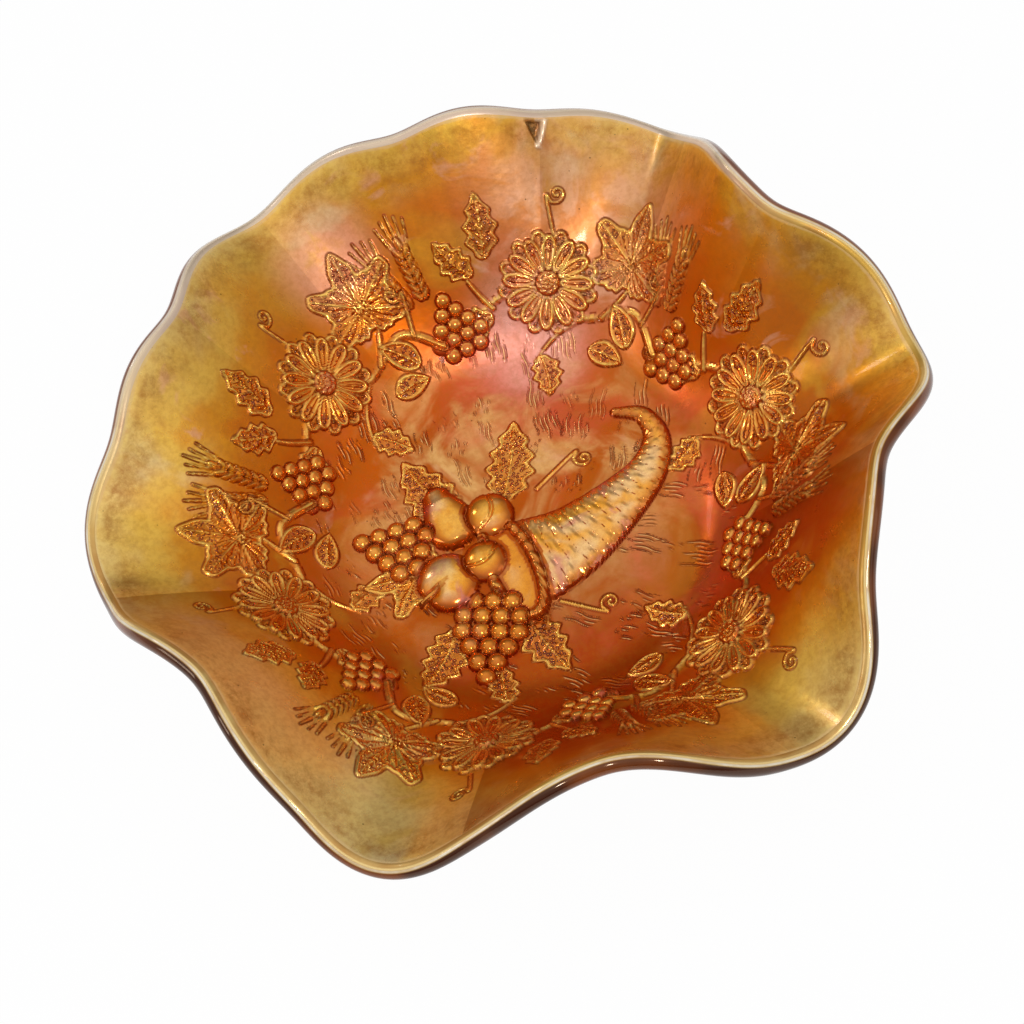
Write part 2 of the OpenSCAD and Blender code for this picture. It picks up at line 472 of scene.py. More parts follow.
def hatching(relief):
    """Short parallel strokes, in groups, over the bare ground round the middle."""
    draw = np.random.default_rng(HATCH_SEED)
    bare = smooth(0.12, 0, relief.height) * smooth(0.4, 1, relief.edge)
    for rho in HATCH_RINGS:
        count = int(2 * math.pi * rho / GROUP_PITCH)
        for k in range(count):
            azimuth = 360 * (k + 0.5 * (rho % 16 > 7)) / count + draw.uniform(-2, 2)
            along, across = draw.uniform(1.4, 5.2), draw.uniform(1.2, 4.2)
            keep = draw.uniform(0.45, 1) * (draw.random() < 0.58)
            turn = azimuth * 0.25 + 62 + draw.uniform(-9, 9)
            near, u, v = relief.local(polar(rho, azimuth), turn, 8)
            v = v + 0.22 * np.sin(0.9 * u + k)
            number = np.floor(v / STROKE_PITCH + 0.5)
            slip, share = 1.8 * np.sin(number * 2.1 + k), 0.7 + 0.3 * np.sin(number * 4.3 + 2 * k)
            patch = smooth(0.3, -1.4, np.abs(u - slip) - along * share)
            patch = patch * smooth(0.1, -0.2, np.abs(v) - across) * keep * bare[near]
            stroke = np.where(patch > relief.hatch[near], v / STROKE_PITCH, relief.stroke[near])
            relief.stroke[near] = stroke
            relief.hatch[near] = np.maximum(relief.hatch[near], patch)


def spray(relief, k):
    """One of the six alike sprays of the wreath."""
    turn = 60 * k + 8
    sway = (0, 2, -1.5, 1.5, -2, 0.5)[k]

    def at(rho, azimuth):
        return polar(rho, turn + azimuth)

    stem(relief, [at(60, -33), at(68, -24), at(63, -10), at(71, 4), at(64, 18), at(60, 27)], 0.9, 0.95, 0.1)
    stem(relief, [at(64, -16), at(74, -21), at(82, -22)], 0.65, 0.8)
    stem(relief, [at(66, 12), at(74, 16), at(84, 18)], 0.65, 0.8)
    stem(relief, [at(62, -10), at(57, -4), at(50, 2)], 0.6, 0.75)
    wheat(relief, at(75, 27), turn + 30, 16.5)
    wheat(relief, at(74, 31), turn + 48, 15)
    leaf(relief, at(80, 12), turn + 6 + sway, 19, 4.9, 4, -0.15)
    leaf(relief, at(76, 15), turn + 55, 15, 4.3, 4, 0.15)
    vine_leaf(relief, at(80, -20), turn - 22 + sway, 17.5)
    leaf(relief, at(64, 12), turn + 112, 17, 4.6, 4, 0.16)
    leaf(relief, at(58, -25), turn + 14, 13, 4, 0, -0.2)
    leaf(relief, at(52, 0), turn - 165, 12.5, 3.9, 4, 0.2)
    leaf(relief, at(55, -14), turn - 115, 11, 3.6, 0, 0.2)
    grapes(relief, at(55, 21), turn + 30, radius=2.3)
    tendril(relief, at(80, -4), turn + 10, 16, 1)
    tendril(relief, at(66, -27), turn - 40, 13, -1)
    daisy(relief, at(72, -2), turn + 11 * k, 1.12)


def middle(relief):
    """A horn of plenty and its fruit."""
    leaf(relief, (-17, 8), 112, 25, 6.2, 5, 0.12)
    leaf(relief, (-4, 9), 66, 25, 6, 5, -0.12)
    leaf(relief, (-26, -22), -132, 20, 5.6, 5, 0.15)
    leaf(relief, (-8, -24), -72, 21, 5.6, 5, -0.12)
    vine_leaf(relief, (-32, -3), 176, 14.5)
    tendril(relief, (6, 10), 28, 15, 1)
    tendril(relief, (2, -24), -35, 13, -1)
    horn(relief)
    grapes(relief, (-14, -16), -112, (3, 4, 4, 3, 2, 1), 2.7, 2.6)
    pear(relief, (-19, 7.5), 100, 1)
    grapes(relief, (-27, 2), 150, (3, 4, 3, 2, 1), 2.6, 2.5)
    peach(relief, (-8.5, 6.5), 60, 1)
    apple(relief, (-24.5, -8.5), 205, 1.05)
    peach(relief, (-13.5, -6), 20, 0.9)


def carved(x, y):
    """The whole relief at points of the flattened bowl."""
    relief = Relief(x, y)
    for k in range(6):
        spray(relief, k)
    middle(relief)
    hatching(relief)
    return relief


# ---- The glass as rows of points
AZIMUTHS = np.arange(AROUND) * 2 * math.pi / AROUND
# The crimper's pocket: its azimuth in degrees, then in millimetres how far below the edge
# it starts, its length, half its width and its depth, and how far its lip stands up.
TUCK_AZIMUTH = 67.9
TUCK_TOP = 0.6
TUCK_LONG = 6.6
TUCK_WIDE = 2.5
TUCK_DEEP = 1.1
LIP_HIGH = 0.35
SLOPE_STEP = 0.12


def inner_reaches():
    """Reaches of the rows up the wall: close under the relief and wider beyond it."""
    reach = np.linspace(0, 1, REACHES)
    points = inner_point(reach[:, None], AZIMUTHS[None, ::AROUND // LINES])
    run = flattened_distance(points).mean(1)
    fine = np.arange(floor_r, RELIEF_END, RELIEF_STEP)
    band = run[-1] - EDGE_BAND
    plain = np.arange(RELIEF_END, band - PLAIN_STEP / 2, PLAIN_STEP)
    edge = np.linspace(band, run[-1], int(EDGE_BAND / EDGE_STEP) + 1)
    return np.interp(np.concatenate([fine, plain, edge]), run, reach)


def flattened_distance(points):
    """Distance from the bowl's middle along its inside, for rows of points up the wall."""
    steps = np.linalg.norm(np.diff(points, axis=0), axis=-1)
    return floor_r + np.pad(np.cumsum(steps, axis=0), ((1, 0), (0, 0)))


def ring_count(radius):
    """Points round a ring of the floor: the wall's number, halved as rings get smaller."""
    count = AROUND
    while radius < floor_r - 1 and count > 18 and count * 0.31 * COARSE > 2 * math.pi * radius:
        count //= 2
    return count


def floor_rings():
    radii = floor_r - RELIEF_STEP * np.arange(int(floor_r / RELIEF_STEP))
    return [(r, ring_count(r)) for r in radii]


def tuck(below_edge, azimuth, radius):
    """The crimper's pocket under the edge, and the lip at one side of it."""
    across = (azimuth - math.radians(TUCK_AZIMUTH)) * radius
    down = (below_edge - TUCK_TOP) / TUCK_LONG
    half = TUCK_WIDE * np.clip(1 - down, 0, 1) ** 0.8
    side = np.abs(across + 0.8 * (down - 0.5)) - half
    away = np.maximum(side, np.maximum(-down, down - 1) * TUCK_LONG)
    lip = ridge(away - 0.35, 0.5) * smooth(0.3, -0.3, across) * smooth(-0.12, 0, down)
    return smooth(0.2, -0.7, away), lip


class Glass:
    """Every point of the bowl's skin, and what its materials need there."""

    def __init__(self):
        self.rings = floor_rings()
        self.reach = inner_reaches()
        self.lay_out()
        self.raise_relief()
        self.shape_wall()

    def lay_out(self):
        rings = [ring_points(radius, count, 0)[:, :2] for radius, count in self.rings]
        self.floor_xy = np.concatenate(rings + [np.zeros((1, 2))])
        self.base = inner_point(self.reach[:, None], AZIMUTHS[None, :])
        self.radius = np.linalg.norm(self.base[..., :2], axis=-1)
        self.rho = flattened_distance(self.base)

    def raise_relief(self):
        """The relief and its slopes, over the floor's points and then the wall's."""
        self.on_floor = len(self.floor_xy)
        wall = np.stack([self.rho * np.cos(AZIMUTHS), self.rho * np.sin(AZIMUTHS)], -1)
        x, y = np.concatenate([self.floor_xy, wall.reshape(-1, 2)]).T
        self.relief = carved(x, y)
        rho, azimuth = np.hypot(x, y), np.arctan2(y, x)
        c, s = np.cos(azimuth) * SLOPE_STEP, np.sin(azimuth) * SLOPE_STEP
        out = carved(x + c, y + s).height - carved(x - c, y - s).height
        around = carved(x - s, y + c).height - carved(x + s, y - c).height
        self.slope_out, self.slope_round = out / (2 * SLOPE_STEP), around / (2 * SLOPE_STEP)
        real_radius = np.concatenate([rho[:self.on_floor], self.radius.ravel()])
        self.slope_round *= rho / np.maximum(real_radius, 0.1)

    def on_wall(self, values):
        return values[self.on_floor:].reshape(self.rho.shape)

    def shape_wall(self):
        """Rows of the closed skin: up the inside, over the bead and down the outside."""
        reach, azimuth = self.reach[:, None], AZIMUTHS[None, :]
        out = outward(reach, azimuth)
        self.below_edge = self.rho[-1] - self.rho
        self.pocket, self.lip = tuck(self.below_edge, azimuth, self.radius)
        sunk = TUCK_DEEP * self.pocket - LIP_HIGH * self.lip
        self.inside = self.base + out * (sunk - self.on_wall(self.relief.height))[..., None]

        self.outer_reach = np.linspace(1, 0, OUTER_ROWS + 1)
        rows = self.outer_reach[:, None]
        deep = thickness(rows, azimuth)[..., None]
        self.outside = inner_point(rows, azimuth) + outward(rows, azimuth) * deep

        start, end = self.inside[-1], self.outside[0]
        middle, half = (start + end) / 2, (end - start) / 2
        past = up_the_wall(1, AZIMUTHS) * rim_bulge
        turn = np.linspace(0, math.pi, BEAD_ROWS + 1)[1:-1, None, None]
        self.bead = middle - half * np.cos(turn) + past * np.sin(turn)

    def normals(self):
        """Normals of inside, bead and outside rows, smooth from floor to floor."""
        last = self.outside[-1:] * (1 - 1 / floor_r, 1 - 1 / floor_r, 1)
        rows = np.concatenate([self.inside[:1], self.inside, self.bead, self.outside, last])
        step = np.diff(rows, axis=0)
        long = np.linalg.norm(step, axis=-1, keepdims=True)
        lead = step / np.maximum(long, 1e-9)
        along = lead[1:] * long[:-1] + lead[:-1] * long[1:]
        around = np.roll(rows, -1, axis=1) - np.roll(rows, 1, axis=1)
        normal = unit(np.cross(along, around[1:-1]))
        inner, bead = len(self.inside), len(self.inside) + len(self.bead)
        smooth_here = (self.pocket + self.lip < 0.002)[..., None]
        inside = np.where(smooth_here, self.carved_normals(), normal[:inner])
        return inside, normal[inner:bead], normal[bead:]

    def carved_normals(self):
        """Normals of the wall's inside, from the relief's own slopes."""
        reach, azimuth = self.reach[:, None], AZIMUTHS[None, :]
        up, out = up_the_wall(reach, azimuth), outward(reach, azimuth)
        around = np.cross(up, out)
        return unit(-out - up * self.on_wall(self.slope_out)[..., None]
                    - around * self.on_wall(self.slope_round)[..., None])

    def floor_normals(self):
        x, y = self.floor_xy.T
        azimuth = np.arctan2(y, x)
        lead, side = self.slope_out[:self.on_floor], self.slope_round[:self.on_floor]
        c, s = np.cos(azimuth), np.sin(azimuth)
        return unit(np.stack([-lead * c + side * s, -lead * s - side * c, np.ones_like(x)], -1))


# ---- Meshes
def add_object(name, data):
    thing = bpy.data.objects.new(name, data)
    bpy.context.scene.collection.objects.link(thing)
    return thing


def faces_of(*corners):
    return np.stack(corners, -1).reshape(-1, len(corners)).tolist()


def loop_faces(rows, count):
    """Quads of a closed ring whose rows run up its inside and down its outside."""
    j, i = np.meshgrid(np.arange(rows), np.arange(count), indexing="ij")
    down, side = (j + 1) % rows, (i + 1) % count
    return faces_of(j * count + i, down * count + i, down * count + side, j * count + side)


def disc_faces(counts, first=0):
    """Faces of a disc from its outermost ring to its middle point, seen from above."""
    faces, outer = [], first
    for n, inside in zip(counts[:-1], counts[1:]):
        inner = outer + n
        i = np.arange(inside)
        k = (i + 1) % inside
        if inside == n:
            faces += faces_of(outer + i, outer + k, inner + k, inner + i)
        else:
            near, next_one, far = outer + 2 * i, outer + 2 * i + 1, outer + (2 * i + 2) % n
            faces += faces_of(near, next_one, inner + i)
            faces += faces_of(next_one, inner + k, inner + i)
            faces += faces_of(next_one, far, inner + k)
        outer = inner
    n, middle = counts[-1], outer + counts[-1]
    return faces + [[outer + i, outer + (i + 1) % n, middle] for i in range(n)]


def add_piece(name, points, faces, fields, normals=None):
    """An object from points in millimetres, with its fields for the materials."""
    mesh = bpy.data.meshes.new(name)
    mesh.from_pydata((points * MM).tolist(), [], faces)
    mesh.polygons.foreach_set("use_smooth", np.ones(len(mesh.polygons), bool))
    for field, values in fields.items():
        layer = mesh.attributes.new(field, "FLOAT", "POINT")
        layer.data.foreach_set("value", np.asarray(values, np.float32).ravel())
    mesh.update()
    if normals is not None:
        mesh.normals_split_custom_set_from_vertices(normals.reshape(-1, 3).tolist())
    return add_object(name, mesh)


def relief_fields(relief, places, extra):
    """The relief's fields at some of its points, then flat values for extra points."""
    flat = np.zeros(extra)
    fields = {name: np.concatenate([getattr(relief, name)[places], flat]) for name in FIELDS}
    fields["edge"] = np.concatenate([relief.edge[places], flat + EDGE_REACH])
    return fields


# How far below the edge the outside and the floor count as: its wear doesn't reach them.
FAR_BELOW = 50
# Where the sprayed lustre turns from orange to gold up the wall, as a reach, and how far
# painted shade deepens its orange, from 0 to 1: at each lobe and each fold by turns.
GOLD_FROM = (0.81, 0.9, 0.8, 0.92, 0.79, 0.76, 0.75, 0.63, 0.65, 0.88, 0.7, 0.92)
DEPTH = (0.5, 0.1, 0, 0, 0, 0.1, 0.4, 0.8, 0.7, 1, 0.8, 1)
STREAK_SEED = 5
# Where painted shade and a painted highlight mark the outside's ridges: azimuth, the side that is darker,
# and how much.
SHADED_CREASES = ((180, 1, 1), (247.5, 1, 1), (337.5, -1, 1), (67.5, -1, 0.45), (45, 1, 0.5),
           (112.5, 1, 0.35), (292.5, 1, 0.3), (135, 1, 0.3), (22.5, -1, 0.3))
# How many degrees the darker and the paler side of a crease spread.
DARK_SPREAD = 7
PALE_SPREAD = 2.5


def crease_shades():
    """Painted shade and a painted highlight at the outside's ridges: a step at each ridge."""
    shade = np.zeros_like(AZIMUTHS)
    for at, side, strength in SHADED_CREASES:
        turn = np.mod(AZIMUTHS - math.radians(at) + math.pi, 2 * math.pi) - math.pi
        away = np.degrees(turn) * side
        spread = np.where(away > 0, DARK_SPREAD, PALE_SPREAD)
        shade += strength * np.where(away > 0, 1, -1) * np.exp(-np.abs(away) / spread)
    return shade


def round_the_bowl(values):
    """Eases between values given at each lobe and fold by turns."""
    values = np.array(values + values[:1])
    k, share = between_turns(AZIMUTHS)
    return values[k] + (values[k + 1] - values[k]) * smooth(0, 1, share)


def streaks():
    """Slight waves round the wall, left by the mould and the crimper."""
    draw = np.random.default_rng(STREAK_SEED)
    waves = np.zeros_like(AZIMUTHS)
    for count in (23, 37, 52, 71, 88, 113):
        waves += draw.uniform(0.1, 0.35) * np.sin(count * AZIMUTHS + draw.uniform(0, 2 * math.pi))
    return waves


def build_wall(glass, inner_normals, outer_normals):
    points = np.concatenate([glass.inside, glass.outside])
    level, plain = np.zeros(points.shape[:2]), np.zeros(glass.outside.shape[:2])
    reach = np.concatenate([glass.rho / glass.rho[-1], plain + glass.outer_reach[:, None]])
    fields = relief_fields(glass.relief, slice(glass.on_floor, None), plain.size)
    fields.update(
        reach=reach,
        gold=reach - round_the_bowl(GOLD_FROM),
        deep=round_the_bowl(DEPTH) * smooth(0.32, 0.5, reach),
        outside=np.concatenate([0 * glass.rho, plain + 1]),
        below_edge=np.concatenate([glass.below_edge, plain + FAR_BELOW]),
        tuck=np.concatenate([glass.pocket, plain]),
        tuck_lip=np.concatenate([glass.lip, plain]),
        crease=level + crease_shades(),
        streak=level + streaks())
    normals = np.concatenate([inner_normals, outer_normals])
    return add_piece("wall_relief", points.reshape(-1, 3), loop_faces(len(points), AROUND), fields, normals)


def build_bead(glass, inner_normals, bead_normals, outer_normals):
    points = np.concatenate([glass.inside[-1:], glass.bead, glass.outside[:1]])
    rows = len(points)
    level = np.zeros((rows, AROUND))
    fields = {
        "gold": level + 1 - round_the_bowl(GOLD_FROM),
        "deep": level + round_the_bowl(DEPTH),
        "round": level + np.linspace(0, 1, rows)[:, None],
    }
    normals = np.concatenate([inner_normals[-1:], bead_normals, outer_normals[:1]])
    return add_piece("rim_lip", points.reshape(-1, 3), loop_faces(rows, AROUND), fields, normals)


def ring_points(radius, count, z):
    a = np.arange(count) * 2 * math.pi / count
    return np.stack([radius * np.cos(a), radius * np.sin(a), 0 * a + z], -1)


# Rings of the floor's underside: the radius, and how many of the wall's points give one.
UNDER_RINGS = ((floor_r, 1), (floor_r - 0.5, 2), (foot_r - foot_w, 4), (24, 8), (12, 16))
FLOOR_GOLD_FROM = 0.8


def build_floor(glass):
    """The relief on top, and a plain disc under it that meets the wall."""
    height = glass.relief.height[:glass.on_floor]
    top = np.concatenate([glass.floor_xy, (floor_z + height)[:, None]], 1)
    under = [ring_points(radius, AROUND // share, foot_h) for radius, share in UNDER_RINGS]
    bottom = np.concatenate(under + [np.array([[0, 0, foot_h]])])
    first = len(top)
    faces = disc_faces([count for _, count in glass.rings])
    faces += [face[::-1] for face in disc_faces([len(ring) for ring in under], first)]
    i = np.arange(AROUND)
    k = (i + 1) % AROUND
    faces += faces_of(first + i, first + k, k, i)
    points = np.concatenate([top, bottom])
    fields = relief_fields(glass.relief, slice(0, glass.on_floor), len(bottom))
    reach = np.hypot(*points[:, :2].T) / glass.rho[-1].mean()
    fields.update(
        reach=reach,
        gold=reach - FLOOR_GOLD_FROM,
        outside=np.arange(len(points)) >= first,
        below_edge=np.full(len(points), FAR_BELOW))
    down = np.tile((0, 0, -1), (len(bottom), 1))
    return add_piece("floor_relief", points, faces, fields, np.concatenate([glass.floor_normals(), down]))


def build_foot():
    """The collar base's profile, as in part.scad, turned once round."""
    inner_r, steps = foot_r - foot_w, np.radians(np.linspace(0, 90, FOOT_STEPS))
    left, right = inner_r + foot_draft + foot_round, foot_r - foot_draft - foot_round
    outline = [(inner_r, foot_h)]
    outline += [(left - foot_round * math.cos(a), foot_round * (1 - math.sin(a))) for a in steps]
    outline += [(right + foot_round * math.sin(a), foot_round * (1 - math.cos(a))) for a in steps]
    outline += [(foot_r, foot_h)]
    points = np.concatenate([ring_points(r, FOOT_SEGMENTS, z) for r, z in reversed(outline)])
    return add_piece("foot_ring", points, loop_faces(len(outline), FOOT_SEGMENTS), {})


# ---- Materials
def tone(red, green, blue):
    """A colour as a screen shows it, 0 to 255, as the linear one that shaders take."""
    linear = [c / 255 / 12.92 if c <= 10 else ((c / 255 + 0.055) / 1.055) ** 2.4
              for c in (red, green, blue)]
    return (*linear, 1)


class Nodes:
    """A node tree under construction, with a short call for each kind of node."""

    def __init__(self, owner, output, place):
        owner.use_nodes = True
        self.tree = owner.node_tree
        self.tree.nodes.clear()
        self.output = self.add(output)
        self.place = self.add("ShaderNodeTexCoord").outputs[place]

    def add(self, kind, **settings):
        node = self.tree.nodes.new(kind)
        for name, value in settings.items():
            setattr(node, name, value)
        return node

    def set(self, socket, value):
        """Links a socket, or gives it a number or a colour as a screen shows it."""
        if isinstance(value, bpy.types.NodeSocket):
            self.tree.links.new(value, socket)
        else:
            socket.default_value = tone(*value) if isinstance(value, tuple) else value

    def enter(self, node, **values):
        for name, value in values.items():
            self.set(node.inputs[name.replace("_", " ")], value)
        return node

    def fill(self, node, *values):
        """Sets a node's first sockets, and returns its first output."""
        for socket, value in zip(node.inputs, values):
            self.set(socket, value)
        return node.outputs[0]

    def field(self, name):
        return self.add("ShaderNodeAttribute", attribute_name=name).outputs["Fac"]

    def axis(self, name):
        return self.enter(self.add("ShaderNodeSeparateXYZ"), Vector=self.place).outputs[name]

    def away_from(self, x, y):
        """Distance in plan from a place."""
        dx, dy = self.minus(self.axis("X"), x), self.minus(self.axis("Y"), y)
        return self.math("SQRT", self.plus(self.times(dx, dx), self.times(dy, dy)))

    def math(self, operation, a, b=0, clamp=False):
        return self.fill(self.add("ShaderNodeMath", operation=operation, use_clamp=clamp), a, b)

    def times(self, first, *others):
        for other in others:
            first = self.math("MULTIPLY", first, other)
        return first

    def plus(self, first, *others):
        for other in others:
            first = self.math("ADD", first, other)
        return first

    def minus(self, a, b):
        return self.math("SUBTRACT", a, b)

    def span(self, value, low, high, start=0, end=1):
        """Smoothly from start to end while a value goes from low to high."""
        node = self.add("ShaderNodeMapRange", interpolation_type="SMOOTHSTEP")
        return self.fill(node, value, low, high, start, end)

    def noise(self, size, detail=3, roughness=0.5, distortion=0):
        """Noise whose patches are about size metres across."""
        node = self.enter(self.add("ShaderNodeTexNoise"), Vector=self.place, Scale=1 / size,
                          Detail=detail, Roughness=roughness, Distortion=distortion)
        return node.outputs["Fac"]

    def patches(self, noise, *bounds):
        """Patches of noise, with soft edges between two of its levels."""
        return self.span(self.noise(*noise), *bounds)

    def cells(self, size):
        """Distance from the nearest of scattered points about size metres apart."""
        node = self.enter(self.add("ShaderNodeTexVoronoi"), Vector=self.place, Scale=1 / size)
        return node.outputs["Distance"]

    def ramp(self, value, *stops):
        node = self.add("ShaderNodeValToRGB")
        node.color_ramp.interpolation = "EASE"
        elements = node.color_ramp.elements
        for i, (at, colour) in enumerate(stops):
            element = elements[i] if i < 2 else elements.new(at)
            element.position, element.color = at, tone(*colour)
        return self.fill(node, value)

    def mix(self, share, under, over):
        node = self.add("ShaderNodeMix", data_type="RGBA")
        for socket, value in ((0, share), (6, under), (7, over)):
            self.set(node.inputs[socket], value)
        return node.outputs[2]

    def bump(self, height, depth, normal=None):
        node = self.enter(self.add("ShaderNodeBump"), Distance=depth, Height=height)
        if normal:
            self.enter(node, Normal=normal)
        return node.outputs["Normal"]


GLASS_INDEX = 1.5


class Shader(Nodes):
    """A material under construction, with the colour that it has so far."""

    def __init__(self, name):
        self.material = bpy.data.materials.new(name)
        super().__init__(self.material, "ShaderNodeOutputMaterial", "Object")
        self.colour = None

    def wash(self, colour, *shares):
        """Lays a colour over what is there, as far as its shares multiplied say."""
        self.colour = self.mix(self.times(*shares), self.colour, colour)

    def finished(self, **values):
        surface = self.enter(self.add("ShaderNodeBsdfPrincipled"),
                             Base_Color=self.colour, IOR=GLASS_INDEX, **values)
        self.enter(self.output, Surface=surface.outputs[0])
        return self.material


# Colours of the plain lustre, from below the line where it turns gold to beyond it, and
# the darker red orange of painted shade, mostly on the near side of the bowl.
LUSTRE_STOPS = (
    (0, (180, 80, 12)), (0.3, (200, 94, 6)), (0.44, (212, 122, 12)),
    (0.53, (220, 152, 32)), (0.62, (232, 192, 84)), (0.74, (238, 212, 136)))
SHADE_ORANGE = (172, 50, 0)


def base_lustre(s):
    """The plain lustre, whose line where it turns gold drifts a little."""
    drift = s.patches((0.035, 4, 0.55, 0.6), 0.3, 0.7, -0.05, 0.05)
    past = s.plus(s.field("gold"), drift, 0.5)
    # Painted shade: the lustre turns a darker red orange where the deep field is high.
    deep = s.times(s.field("deep"), s.span(past, 0.62, 0.4, 0, 0.8))
    return s.mix(deep, s.ramp(past, *LUSTRE_STOPS), SHADE_ORANGE)


# Painted sheens and reflections, laid as clouds with a place of their own on the floor and
# the wall: the place, the radii where the cloud ends and where it is full, its share out of the patches and
# in them, its colour.
PAINTED_SHEEN = ((0.043, 0.072), (0.042, 0.01), (0.3, 0.85), (240, 186, 156))
ROSE_SHEEN = ((0.013, 0.045), (0.03, 0.006), (0.5, 0.2), (222, 96, 80))
BLUSH_HIGHLIGHT = ((0.018, 0.052), (0.021, 0.004), (0.9, 0.65), (252, 190, 176))
MAUVE_REFLECTION = ((-0.028, 0.084), (0.02, 0.006), (0.8, 0.4), (226, 158, 142))


def placed_sheen(s, patches, place, radii, shares, colour):
    s.wash(colour, s.span(s.away_from(*place), *radii), s.span(patches, 0, 1, *shares))


def clouds(s):
    """Clouds of colour: painted sheens of copper and rose in the middle, iridescent green gold and lilac
    higher up, and painted shade towards the near side.
    """
    reach, gold = s.field("reach"), s.field("gold")
    patches = s.patches((0.02, 4, 0.6, 0.8), 0.42, 0.64)
    # Painted sheen: a pale copper patch over the middle of the floor.
    middle_sheen = s.span(s.away_from(0, 0.012), 0.062, 0.02)
    s.wash((238, 194, 122), middle_sheen, patches, 0.85)
    # Painted sheens: a pink-white one high on the far wall, then a rose one and a pink-white highlight lower
    # down.
    for cloud in (PAINTED_SHEEN, ROSE_SHEEN, BLUSH_HIGHLIGHT):
        placed_sheen(s, patches, *cloud)
    # Painted shade: the orange deepens to a dark red towards the near side.
    low = s.span(s.axis("Y"), 0.005, -0.05, 0, 0.9)
    s.wash((158, 54, 6), low, s.span(gold, -0.08, -0.3))
    rosy = s.span(s.plus(s.axis("X"), s.axis("Y")), -0.03, 0.05, -0.05, 0.09)
    pink = s.span(s.plus(s.noise(0.03, 4, 0.55, 1.2), rosy), 0.5, 0.72)
    s.wash((222, 98, 70), pink, s.span(reach, 0.7, 0.4, 0, 0.4))
    green = s.patches((0.024, 3, 0.5, 0.8), 0.56, 0.7)
    s.wash((216, 176, 56), green, s.span(reach, 0.25, 0.7, 0.1, 0.45))
    lilac, upper = s.patches((0.02, 4, 0.55, 1.5), 0.6, 0.72), s.span(s.axis("Y"), -0.03, 0.02, 0.2, 1)
    s.wash((232, 176, 150), lilac, s.span(reach, 0.4, 0.7, 0.25, 0.6), upper)
    # Painted reflection: a mauve glow on the far wall, left of the middle.
    placed_sheen(s, patches, *MAUVE_REFLECTION)
    silver = s.patches((0.026, 4, 0.55, 0.4), 0.52, 0.66)
    s.wash((224, 208, 172), silver, s.span(gold, -0.06, 0.1, 0, 0.5))


def crease_shading(s, reach):
    """Painted shade on the darker side of each of the outside's ridges, and a painted highlight on the paler
    one.
    """
    crease = s.times(s.field("crease"), s.span(reach, 0.45, 0.7))
    # Painted shade on the darker side of each ridge, then a painted highlight on the paler side.
    s.wash((104, 60, 14), s.math("MULTIPLY", crease, 0.55, True))
    s.wash((232, 196, 120), s.math("MULTIPLY", crease, -0.15, True))


def gilding(s, reach, edge):
    """Gilds the raised work; over the figure's body, painted shade darkens its edges, a painted highlight
    with rubbed lustre pales its tops, and violet patches show.
    """
    figure = s.field("figure")
    gilt = s.times(s.patches((0.02, 3, 0.5, 0.5), 0.35, 0.6, 0.6, 1), s.span(reach, 0.7, 0.3, 0.32, 0.62))
    s.wash((250, 172, 40), s.span(edge, 0, -0.4), gilt)
    cream = s.mix(s.patches((0.016, 3, 0.5, 0.6), 0.44, 0.6), (248, 184, 52), (250, 228, 178))
    # Painted shade: the figure darkens towards its outline.
    s.wash((172, 74, 6), figure, s.span(edge, -3, -0.3, 0.1, 0.75))
    # Painted highlight: cream tops on the figure, where rubbing also pales the lustre.
    s.wash(cream, figure, s.span(edge, -1, -4.5, 0, 0.75))
    violet = s.patches((0.014, 4, 0.6, 1), 0.54, 0.66, 0, 0.7)
    s.wash((206, 132, 134), figure, violet)


def outlines(s, edge):
    """Painted shade in red crevices round the raised work, and bright lines of rubbed lustre with a painted
    highlight along its edges.
    """
    # Painted shade in the crevices round the raised work.
    s.wash((124, 26, 2), s.span(edge, 0.55, 0.12), s.span(edge, -0.25, 0), 0.9)
    rim_line = s.times(s.span(edge, -0.2, -0.5), s.span(edge, -1.05, -0.75))
    bright = s.math("MAXIMUM", s.times(rim_line, s.minus(1, s.field("figure"))), s.field("line"))
    # Painted highlight, with rubbed lustre, along the edges and crests.
    s.wash((255, 220, 116), bright, s.patches((0.005, 4, 0.7), 0.35, 0.62, 0.25, 1), 0.85)


def stippling(s):
    """Painted shade in the pits and painted glints on the tops of the stippled leaves and petals; returns
    their height.
    """
    stipple, dots = s.field("stipple"), s.cells(0.0011)
    s.wash((160, 62, 4), stipple, s.span(dots, 0.3, 0.55), 0.35)
    s.wash((255, 210, 110), stipple, s.span(dots, 0.22, 0.1), 0.45)
    return s.times(stipple, s.span(dots, 0.55, 0.1))


def strokes(s):
    """Painted shade and painted highlights on the dark and bright sides of the hatched strokes; returns
    their height.
    """
    wave = s.times(s.field("hatch"), s.math("SINE", s.times(s.field("stroke"), 2 * math.pi)))
    s.wash((132, 40, 10), s.math("MULTIPLY", wave, -0.4, True))
    s.wash((255, 214, 142), s.span(wave, 0.2, 0.9), s.patches((0.003, 3, 0.6), 0.35, 0.6, 0.3, 0.85))
    return wave


def wear(s, below, bare):
    """Grime all over and under the edge, glass rubbed bare at the edge, and specks."""
    s.wash((168, 96, 22), s.patches((0.0016, 4, 0.7), 0.35, 0.7, 0, 0.3))
    smudges = s.patches((0.008, 6, 0.8), 0.4, 0.68, 0.05, 0.7)
    s.wash((156, 96, 28), s.span(below, 16, 4.5), s.span(below, 1, 3), smudges)
    s.wash((226, 202, 156), bare, 0.6)
    s.wash((60, 34, 16), s.span(s.cells(0.006), 0.05, 0.025), 0.7)


def pocket(s):
    """The crimper's pocket: painted shade of mottled dark brown in it and a painted highlight on its lip."""
    glass = s.mix(s.patches((0.0012, 3, 0.6), 0.42, 0.58), (150, 104, 60), (62, 32, 12))
    s.wash(glass, s.field("tuck"), 0.9)
    s.wash((255, 244, 226), s.field("tuck_lip"), 0.9)


